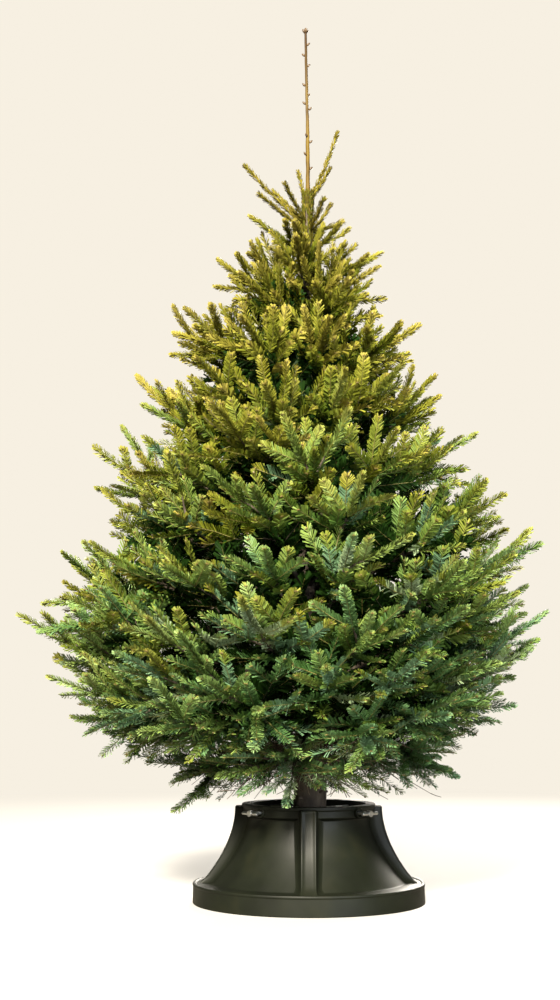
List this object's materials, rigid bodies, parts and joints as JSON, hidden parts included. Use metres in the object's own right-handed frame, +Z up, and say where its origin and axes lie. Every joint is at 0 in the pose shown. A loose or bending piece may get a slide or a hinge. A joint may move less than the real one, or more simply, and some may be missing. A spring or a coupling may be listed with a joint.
{
  "type": "christmas tree in a stand",
  "caption": "Full conical cut fir with upswept boughs, flat dense needles and a long bare leader, held by screws in a flared round plastic water stand.",
  "frame": {"origin": "centre of the stand's flat underside, on the floor", "axes": "+Z up along the trunk, +X towards the tree's right as seen from its front, the front faces -Y"},
  "size_m": [1.311, 1.2258, 2.258],
  "materials": {
    "stand_plastic": "moulded, dark green, satin",
    "bolt_steel": "zinc plated",
    "bark": "young bark, grey-brown with resin blisters",
    "foliage": "flat needles, glossy above and paler below"
  },
  "bodies": {
    "root": {"bough_low_1": "bark", "bough_low_2": "bark", "bough_low_3": "bark", "bough_low_4": "bark", "bough_low_5": "bark", "bough_skirt_1": "bark", "bough_skirt_2": "bark", "bough_skirt_3": "bark", "bough_skirt_4": "bark", "foliage_crest_1": "foliage", "foliage_crest_2": "foliage", "foliage_crest_3": "foliage", "foliage_crown_1": "foliage", "foliage_crown_2": "foliage", "foliage_crown_3": "foliage", "foliage_full_1": "foliage", "foliage_full_2": "foliage", "foliage_full_3": "foliage", "foliage_full_4": "foliage", "foliage_full_5": "foliage", "foliage_high_1": "foliage", "foliage_high_2": "foliage", "foliage_high_3": "foliage", "foliage_high_4": "foliage", "foliage_low_1": "foliage", "foliage_low_2": "foliage", "foliage_low_3": "foliage", "foliage_low_4": "foliage", "foliage_low_5": "foliage", "foliage_middle_1": "foliage", "foliage_middle_2": "foliage", "foliage_middle_3": "foliage", "foliage_middle_4": "foliage", "foliage_neck_1": "foliage", "foliage_neck_2": "foliage", "foliage_neck_3": "foliage", "foliage_skirt_1": "foliage", "foliage_skirt_2": "foliage", "foliage_skirt_3": "foliage", "foliage_skirt_4": "foliage", "foliage_top": "foliage", "foliage_tuft_1": "foliage", "foliage_tuft_2": "foliage", "foliage_tuft_3": "foliage", "foliage_upper_1": "foliage", "foliage_upper_2": "foliage", "foliage_upper_3": "foliage", "foliage_upper_4": "foliage", "foliage_wide_1": "foliage", "foliage_wide_2": "foliage", "foliage_wide_3": "foliage", "foliage_wide_4": "foliage", "foliage_wide_5": "foliage", "stand_base": "stand_plastic", "stand_bolt_1": "bolt_steel", "stand_bolt_2": "bolt_steel", "stand_bolt_3": "bolt_steel", "stand_bolt_4": "bolt_steel", "trunk": "bark"}
  },
  "joints": []
}
